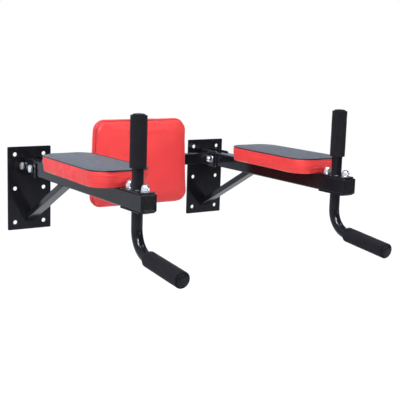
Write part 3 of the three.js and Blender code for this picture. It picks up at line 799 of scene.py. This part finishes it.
def handle_line(start, travel):
    """Point and direction of the lower handle's line, at a distance along it."""
    angle = min(max(travel - HANDLE_DROP, 0), HANDLE_ARC) / HANDLE_BEND
    beyond = max(travel - HANDLE_DROP - HANDLE_ARC, 0)
    forward = HANDLE_BEND * (1 - cos(angle)) + beyond * sin(angle)
    down = min(travel, HANDLE_DROP) + HANDLE_BEND * sin(angle) + beyond * cos(angle)
    return start + Vector((0, -forward, -down)), Vector((0, -sin(angle), -cos(angle)))


def dress_lower_handle(arm):
    """Bent tube, foam grip and end cap under the arm."""
    start = seat(f"handle_flange_{arm}", UPRIGHT)[0].translation
    end = GRIP_START + GRIP_LENGTH + TUBE_PROUD
    travels = [0, HANDLE_DROP / 2]
    travels += [HANDLE_DROP + HANDLE_ARC * step / HANDLE_STEPS for step in range(HANDLE_STEPS + 1)]
    travels += [GRIP_START + GRIP_LENGTH / 2, end]
    tube = []
    for radius, run in ((TUBE_RADIUS, travels), (TUBE_RADIUS - TUBE_WALL, travels[::-1])):
        for travel in run:
            place, ahead = handle_line(start, travel)
            tube.append([place + Vector((p.x, ahead.z * p.y, -ahead.y * p.y))
                         for p in ring_of(radius, 0, TURN_STEPS // 2)])
    dress(f"lower_handle_{arm}", loft(tube, closed=True))
    dress_foam(f"handle_grip_{arm}", aimed(*handle_line(start, GRIP_START)), GRIP_LENGTH, 2 * len(arm))
    dress_cap(f"handle_cap_{arm}", aimed(*handle_line(start, end + FIT_GAP)))


# Fasteners
def washer(diameter, hole, thickness):
    """Stamped washer about w, rolled on one edge."""
    outer, inner, soft = diameter / 2, hole / 2, thickness / 5
    profile = [(outer - soft / 2, 0), (outer, soft / 2), (outer, thickness - soft)]
    profile += arc_profile(outer - soft, thickness - soft, soft, 0, 90)
    profile += [(inner + soft, thickness), (inner, thickness - soft), (inner, 0)]
    return turned(profile, closed=True)


def hex_bolt(sizes, length):
    """Bolt about w whose head stands on w = 0, with a washer face and a chamfered tip."""
    shank, across, head = sizes[:3]
    radius, face = shank / 2, across / 2 * CHAMFER_SHARE
    soft = head / 16
    rings = [ring_of(0, 0), ring_of(face - soft, 0), ring_of(face, soft / 3)]
    rings += [hexagon_ring(across, soft / 3, 1), hexagon_ring(across, head - soft, -1)]
    rings += [ring_of(face, head - soft), ring_of(face - soft, head), ring_of(radius + soft, head)]
    rings += [ring_of(radius, head + soft), ring_of(radius, length - radius / 4)]
    rings += [ring_of(radius * TIP_SHARE, length), ring_of(0, length)]
    return loft(rings)


def flat_bolt(length):
    """Bolt about w whose low round head stands on w = 0."""
    radius, head, soft = M10[0] / 2, FLAT_HEAD / 2, FLAT_HEIGHT / 3
    profile = [(0, 0)] + arc_profile(head - 2 * soft, 2 * soft, 2 * soft, -90, 0)
    profile += [(head, FLAT_HEIGHT - soft / 3), (head - soft / 3, FLAT_HEIGHT)]
    profile += [(radius + soft, FLAT_HEIGHT), (radius, FLAT_HEIGHT + soft)]
    profile += [(radius, length - radius / 4), (radius * TIP_SHARE, length), (0, length)]
    return turned(profile)


def cap_nut():
    """Domed nut about w that stands on w = 0, with a blind bore."""
    across, inner, dome = M10[1], BOLT_HOLE / 2, NUT_DOME / 2
    face, skirt = across / 2 * CHAMFER_SHARE, NUT_HEX + NUT_SKIRT
    rings = [ring_of(0, NUT_HEX), ring_of(inner, NUT_HEX), ring_of(inner, 0), ring_of(face, 0)]
    rings += [hexagon_ring(across, 0, 1), hexagon_ring(across, NUT_HEX, -1), ring_of(face, NUT_HEX)]
    rings += [ring_of(dome, NUT_HEX + NUT_SKIRT / 8)]
    rings += [ring_of(radius, skirt + height * NUT_DOME_HEIGHT / dome)
              for radius, height in arc_profile(0, 0, dome, 0, 90, NUT_DOME_STEPS)]
    return loft(rings)


def dress_bolt(node, sizes, direction, washer_slot="zinc_steel"):
    """Bolt and its washer on the line of a solid; direction runs from the head to the tip."""
    shank, _, head, across, thickness = sizes
    place, length = along(node, direction)
    dress(node, hex_bolt(sizes, length), place, "zinc_steel")
    ring = washer(across, shank + 2 * EDGE_RADIUS, thickness)
    name = node.replace("bolt", "bolt_washer").replace("screw", "screw_washer")
    add_piece(name, ring, place @ Matrix.Translation((0, 0, head)), washer_slot)


def dress_nut(node, direction):
    """Cap nut and its washer; direction runs from the washer to the dome."""
    across, thickness = M10[3:]
    place = along(node, direction)[0]
    ring = washer(across, BOLT_HOLE, thickness)
    add_piece(node.replace("nut", "nut_washer"), ring, place, "chrome_plate")
    dress(node, cap_nut(), place @ Matrix.Translation((0, 0, thickness)), "chrome_plate")


def dress_fasteners(arm, inner):
    for end in ("rear", "front"):
        node = f"handle_bolt_{end}_{arm}"
        place, length = along(node, UP)
        dress(node, flat_bolt(length), place, "zinc_steel")
        dress_nut(f"handle_nut_{end}_{arm}", UP)
        dress_bolt(f"bracket_bolt_{end}_{arm}", M10, (inner, 0, 0), "frame_paint")
        dress_nut(f"bracket_nut_{end}_{arm}", (inner, 0, 0))
        dress_bolt(f"pad_screw_{end}_{arm}", M8, UP)


# Welds
def add_weld(name, path, lift=UP, place=HERE):
    """Rippled bead along a closed path, like a row of overlapping drops."""
    path = [place @ point for point in path]
    length = sum((point - last).length for last, point, _ in threes(path))
    count = int(length / WELD_STEP)
    ripples = max(round(length / WELD_PITCH), 1)

    def radius_at(index):
        phase = index * ripples / count % 1
        uneven = noise.noise(Vector((index * WELD_STEP * WELD_WAVES, WELD_WAVE_ROW, 0)))
        return WELD_RADIUS * (1 - WELD_RIPPLE * (1 - sin(pi * phase)) + WELD_RIPPLE * uneven / 2)

    add_piece(name, swept(spaced(path, count), radius_at, WELD_SIDES, lift), HERE, "frame_paint")


def weld_unit(arm, inner):
    """Beads of one arm: bracket, brace, both handle tubes and the crossbar's end."""
    place, size = seat(f"arm_bracket_{arm}", OUTWARD)
    web = rectangle(size.x - 2 * BRACKET_BEND + 2 * WELD_RADIUS, size.y, WELD_RADIUS)
    add_weld(f"bracket_weld_{arm}", raised(web, WELD_RADIUS / 3), INWARD, place)
    section, at_wall, at_arm = brace_ends(arm)
    add_weld(f"brace_foot_weld_{arm}", map(at_wall, section), INWARD)
    add_weld(f"brace_head_weld_{arm}", map(at_arm, section))
    for part, face in (("post", 1), ("handle", -1)):
        place = seat(f"{part}_flange_{arm}", UPRIGHT, (0, 0, face))[0]
        add_weld(f"{part}_weld_{arm}", ring_of(TUBE_RADIUS, 0), UP, place)
    place, size = seat("crossbar", CROSSWISE, (0, 0, -inner))
    outline = rectangle(size.x, size.y, CROSSBAR_CORNER)
    add_weld(f"crossbar_weld_{arm}", raised(outline, 0), ACROSS, place)


# Cushions
class Cushion:
    """Boxed cushion on w = 0: a hollow for its board, upright sides, a seam and a crowned panel."""

    def __init__(self, outline, board, side, crown, fullness, tuck, bulge, board_inset, swell_cap, growth):
        self.outline = spaced(outline, OUTLINE_POINTS)
        self.centre = sum(self.outline, Vector((0, 0))) / OUTLINE_POINTS
        hollow = board_inset - FIT_GAP
        self.rings = [self.ring(hollow, board + 2 * FIT_GAP), self.ring(hollow, 0)]
        self.free = len(self.rings)
        reach = hollow - bulge - 2 * FIT_GAP
        for step in range(TUCK_STEPS):
            turn = pi / 2 * step / TUCK_STEPS
            self.rings.append(self.ring(bulge + reach * (1 - sin(turn)), tuck * (1 - cos(turn))))
        for row in range(SIDE_ROWS + 1):
            share = row / SIDE_ROWS
            self.rings.append(self.ring(bulge * (1 - arched(share)), tuck + (side - tuck) * share))
        self.seam_ring = len(self.rings) - 1
        power, sharpness, dome = fullness
        for step in range(1, TOP_RINGS + 1):
            share = (step / TOP_RINGS) ** RING_SPREAD
            shoulder = bulge * arched(min(share / SHOULDER_SHARE, 1))
            height = side + crown * ((1 - dome) * (1 - (1 - share) ** power) ** sharpness
                                     + dome * (1 - (1 - share) ** 2))
            scale = 1 - share * TOP_REACH
            self.rings.append([Vector((*(self.centre + (p.to_2d() - self.centre) * scale), height))
                               for p in self.ring(bulge - shoulder, height)])
        self.swell(swell_cap, growth)

    def ring(self, inset, height):
        return raised(drawn_in(self.outline, inset), height)

    def swell(self, cap, growth):
        """Lets the covering swell as cloth between seam and board, and moves the rings with it."""
        seam = tree_of(self.rings[self.seam_ring])
        start, moves = inflated(loft(self.rings), growth,
                                lambda point: point.z < VOXEL or seam.find(point)[2] < SEAM_HOLD)
        tree = tree_of(start)
        field = []
        for number, ring in enumerate(self.rings[self.free:], self.free):
            held = number == self.seam_ring
            field.append([Vector() if held else nearby_move(tree, moves, point) for point in ring])
        for _ in range(SMOOTH_PASSES):
            field = evened(field, self.seam_ring - self.free)
        for ring, shifts in zip(self.rings[self.free:], field):
            for index, move in enumerate(shifts):
                ring[index] = ring[index] + move.normalized() * (cap * tanh(move.length / cap))

    def crease(self, depth_at):
        """Slack folds along the upright sides; depth_at gives their depth at a point."""
        for ring in self.rings[self.free + TUCK_STEPS:self.seam_ring]:
            for index, point in enumerate(ring):
                away = Vector((*(point.to_2d() - self.centre).normalized(), 0))
                ring[index] = point + away * (depth_at(point) * noise.noise(point * CREASE_WAVES))

    def piping(self):
        """Cord along the seam, a little outside it."""
        path = [p + (p - Vector((*self.centre, p.z))).normalized() * (PIPING_RADIUS / 3)
                for p in self.rings[self.seam_ring]]
        return swept(path, lambda index: PIPING_RADIUS, PIPING_SIDES)


def arched(share):
    """Bulge of a covering between two seams: 0 at both, 1 half-way."""
    return max(sin(pi * share), 0) ** SEAM_SHARPNESS


def tree_of(points):
    tree = KDTree(len(points))
    for index, point in enumerate(points):
        tree.insert(point, index)
    tree.balance()
    return tree


def nearby_move(tree, moves, point):
    """Average move of the cloth points next to a place."""
    near = [(place, 1 / (distance * distance + VOXEL * VOXEL / 16))
            for _, place, distance in tree.find_n(point, NEAR_POINTS)]
    total = sum(weight for _, weight in near)
    return sum((moves[place] * weight for place, weight in near), Vector()) / total


def evened(field, held):
    """Moves averaged with their neighbours along and across the rings; the held ring stays."""
    result = []
    for row, shifts in enumerate(field):
        below, above = field[max(row - 1, 0)], field[min(row + 1, len(field) - 1)]
        result.append(shifts if row == held else
                      [(2 * move + last + later + down + up) / 6
                       for (last, move, later), down, up in zip(threes(shifts), below, above)])
    return result


def inflated(bm, growth, pinned):
    """Rest points and moves of a closed mesh that swells as cloth while the pinned points stay."""
    cover = put("cover", mesh_of("cover", bm))
    cover.modifiers.new("remesh", "REMESH").voxel_size = VOXEL
    graph = bpy.context.evaluated_depsgraph_get()
    even = bpy.data.meshes.new_from_object(cover.evaluated_get(graph))
    cover.modifiers.clear()
    cover.data = even
    start = [vertex.co.copy() for vertex in even.vertices]
    held = cover.vertex_groups.new(name="held")
    held.add([index for index, point in enumerate(start) if pinned(point)], 1.0, "REPLACE")
    cloth = cover.modifiers.new("cloth", "CLOTH")
    settings = cloth.settings
    settings.vertex_group_mass = "held"
    settings.use_pressure = True
    settings.uniform_pressure_force = CLOTH_PRESSURE
    settings.shrink_min = -growth
    settings.tension_stiffness = settings.compression_stiffness = CLOTH_STIFFNESS
    settings.bending_stiffness = CLOTH_BENDING
    settings.effector_weights.gravity = 0
    cloth.point_cache.frame_start = 1
    cloth.point_cache.frame_end = CLOTH_FRAMES
    for number in range(1, CLOTH_FRAMES + 1):
        scene.frame_set(number)
    end = cover.evaluated_get(bpy.context.evaluated_depsgraph_get()).data
    moves = [vertex.co - start[index] for index, vertex in enumerate(end.vertices)]
    bpy.data.objects.remove(cover)
    scene.frame_set(1)
    return start, moves


def softened(piece):
    """Last smoothing of a cushion piece."""
    piece.modifiers.clear()
    piece.data.shade_smooth()
    for edge in piece.data.edges:
        edge.use_edge_sharp = False
    smooth = piece.modifiers.new("smooth", "SUBSURF")
    smooth.levels = smooth.render_levels = 1
    return piece


def pad_cushion():
    """Swollen forearm pad, as seen from above with its front edge on v = 0."""
    size = seat("pad_cushion_left", UPRIGHT)[1]
    outline = tapered(size.x, PAD_REAR_SHARE * size.x, size.y, PAD_CORNER, PAD_CORNER_STEPS)
    pad = Cushion(outline, seat("pad_board_left", UPRIGHT)[1].z, **PAD)

    def depth_at(point):
        front = max(1 - CREASE_FADE * point.y / size.y, 0)
        return CREASE_DEPTH * (CREASE_REAR_SHARE + (1 - CREASE_REAR_SHARE) * front)

    pad.crease(depth_at)
    return pad


def dress_pad(arm, pad, flip):
    """Side, top panel and piping of a forearm pad."""
    place = seat(f"pad_cushion_{arm}", UPRIGHT, (0, -1, -1))[0] @ flip
    side, top = pad.rings[:pad.seam_ring + 1], pad.rings[pad.seam_ring:]
    softened(dress(f"pad_cushion_{arm}", loft(side), place, "red_vinyl"))
    under = [[point - Vector((0, 0, PIPING_RADIUS)) for point in ring] for ring in (top[-1], top[0])]
    softened(dress(f"pad_top_{arm}", loft(under + top), place, "grey_vinyl"))
    softened(add_piece(f"pad_piping_{arm}", pad.piping(), place, "black_plastic"))


def dress_backrest():
    """Backrest's cover, and the piping on its seam in a darker red, which is painted shade for the crease
    along the seam.
    """
    place, size = seat("backrest_cushion", OUTWARD, (0, -1, -1))
    outline = tapered(size.x + 2 * BACK_FLARE, BACK_TOP_SHARE * size.x, size.y, BACK_CORNER,
                      BACK_CORNER_STEPS)
    cushion = Cushion(drawn_in(outline, -BACK_OUTSET), seat("backrest_board", OUTWARD)[1].z, **BACKREST)
    softened(dress("backrest_cushion", loft(cushion.rings), place, "red_vinyl"))
    seam = softened(add_piece("backrest_piping", cushion.piping(), place, "red_vinyl"))
    # The piping's darker red is painted shade, standing in for the shadow in the seam's crease
    seam.data.materials[0] = vinyl("red_seam_painted_shade", shade(RED_VINYL, SEAM_PAINTED_SHADE))


def finish_boards():
    """The plywood boards keep their solids and get the plywood finish."""
    for node in ("backrest_board", "pad_board_left", "pad_board_right"):
        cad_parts[node].data.materials.clear()
        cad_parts[node].data.materials.append(MATERIALS["board"])


# Surroundings
def path_share(tree, *rays):
    """Socket that is 1 for the named kinds of ray, otherwise 0."""
    first, *others = [add_node(tree, "LightPath").outputs[f"Is {ray} Ray"] for ray in rays]
    for other in others:
        first = add_node(tree, "Math", first, other, operation="MAXIMUM").outputs[0]
    return first


def mixed(tree, share, first, second):
    """Shader that is the first where the share is 0 and the second where it is 1."""
    return add_node(tree, "MixShader", share, first, second).outputs[0]


def sky(tree, strength, colour=WHITE):
    return add_node(tree, "Background", Color=colour, Strength=strength).outputs[0]


def facing(tree, direction, low, high):
    """Socket that rises from 0 to 1 as the cosine of the angle to a direction goes from low to high."""
    toward = add_node(tree, "VectorMath", add_node(tree, "TexCoord").outputs["Generated"],
                      Vector(direction).normalized(), operation="DOT_PRODUCT")
    return ranged(tree, toward.outputs["Value"], low, high)


def studio_reflection(tree):
    """Studio as gloss shows it: bright on the left, dark in front and on the right, with small softboxes."""
    share = facing(tree, BRIGHT_SIDE, *GLOSS_SPAN)
    shown = sky(tree, 1.0, blended(tree, share, GLOSS_DARK, GLOSS_LIGHT))
    for direction, spread, strength in SOFTBOXES:
        inner, outer = radians(spread), radians(spread * SOFTBOX_BORDER)
        share = facing(tree, direction, cos(outer), cos(inner))
        shown = mixed(tree, share, shown, sky(tree, strength))
    return shown


def light_world():
    """White to the camera, a studio in reflections, and even light on everything else."""
    world = bpy.data.worlds.new("studio")
    world.use_nodes = True
    tree = world.node_tree
    tree.nodes.clear()
    gloss = path_share(tree, "Glossy", "Transmission")
    lit = mixed(tree, gloss, sky(tree, AMBIENT), studio_reflection(tree))
    add_node(tree, "OutputWorld", mixed(tree, path_share(tree, "Camera"), lit, sky(tree, 1.0)))
    scene.world = world


def add_lamps():
    for name, (place, target, size, power) in LAMPS.items():
        lamp = bpy.data.lights.new(name, "AREA")
        lamp.shape = "DISK"
        lamp.size = size
        lamp.energy = power
        holder = put(name, lamp)
        holder.location = place
        holder.rotation_euler = (Vector(target) - Vector(place)).to_track_quat("-Z", "Y").to_euler()


def add_floor():
    """Pale round floor that keeps the object's shadow and is white to the camera elsewhere."""
    finish = Finish("pale_floor", FLOOR_LIGHT, Roughness=0.8)
    finish.colour(finish.texture(2, 3), 0.3, 0.7, FLOOR_DARK, FLOOR_LIGHT)
    tree = finish.tree
    glow = add_node(tree, "Emission", Color=FLOOR_TINT, Strength=FLOOR_GLOW).outputs[0]
    rays = path_share(tree, "Camera", "Glossy", "Transmission")
    share = add_node(tree, "Math", rays, FLOOR_GLOW_SHARE, operation="MULTIPLY").outputs[0]
    fed(tree.nodes["Material Output"], mixed(tree, share, finish.shader.outputs[0], glow))
    mesh = bpy.data.meshes.new("floor")
    mesh.from_pydata(ring_of(FLOOR_RADIUS, FLOOR_HEIGHT), [], [range(TURN_STEPS)])
    mesh.materials.append(finish.material)
    floor = put("floor", mesh)


def add_camera():
    """Camera of the photograph, for an image of IMAGE_PIXELS each way."""
    lens = bpy.data.cameras.new("camera")
    lens.sensor_width = SENSOR_WIDTH
    lens.lens = FOCAL_PIXELS * SENSOR_WIDTH / IMAGE_PIXELS
    camera = put("camera", lens)
    camera.matrix_world = Matrix.Translation(CAMERA_PLACE)
    for angle, axis in ((CAMERA_TURN, "Z"), (pi / 2 - CAMERA_PITCH, "X"), (CAMERA_ROLL, "Z")):
        camera.matrix_world @= Matrix.Rotation(angle, 4, axis)
    scene.camera = camera


def build():
    add_camera()
    light_world()
    add_lamps()
    add_floor()
    pad = pad_cushion()
    dress_pad("left", pad, HERE)
    dress_pad("right", pad, MIRROR)
    dress_backrest()
    for arm, inner in SIDES:
        dress_plates(arm)
        dress_arm_bracket(arm)
        dress_arm_tube(arm)
        dress_arm_end_plug(arm)
        dress(f"arm_brace_{arm}", tube_between(*brace_ends(arm), BRACE_WALL))
        dress_upright(arm)
        dress_lower_handle(arm)
        dress_fasteners(arm, inner)
        weld_unit(arm, inner)
        dress_bolt(f"backrest_bolt_{arm}", M8, (0, -1, 0))
    dress_crossbar()
    dress_channel("backrest_bracket", TURNED_ROUND, CHANNEL_CORNER, CHANNEL_BEND, SCREW_HOLE,
                  lambda length: [(length - CHANNEL_PITCH) / 2])
    finish_boards()


build()
scene.view_settings.view_transform = "Standard"
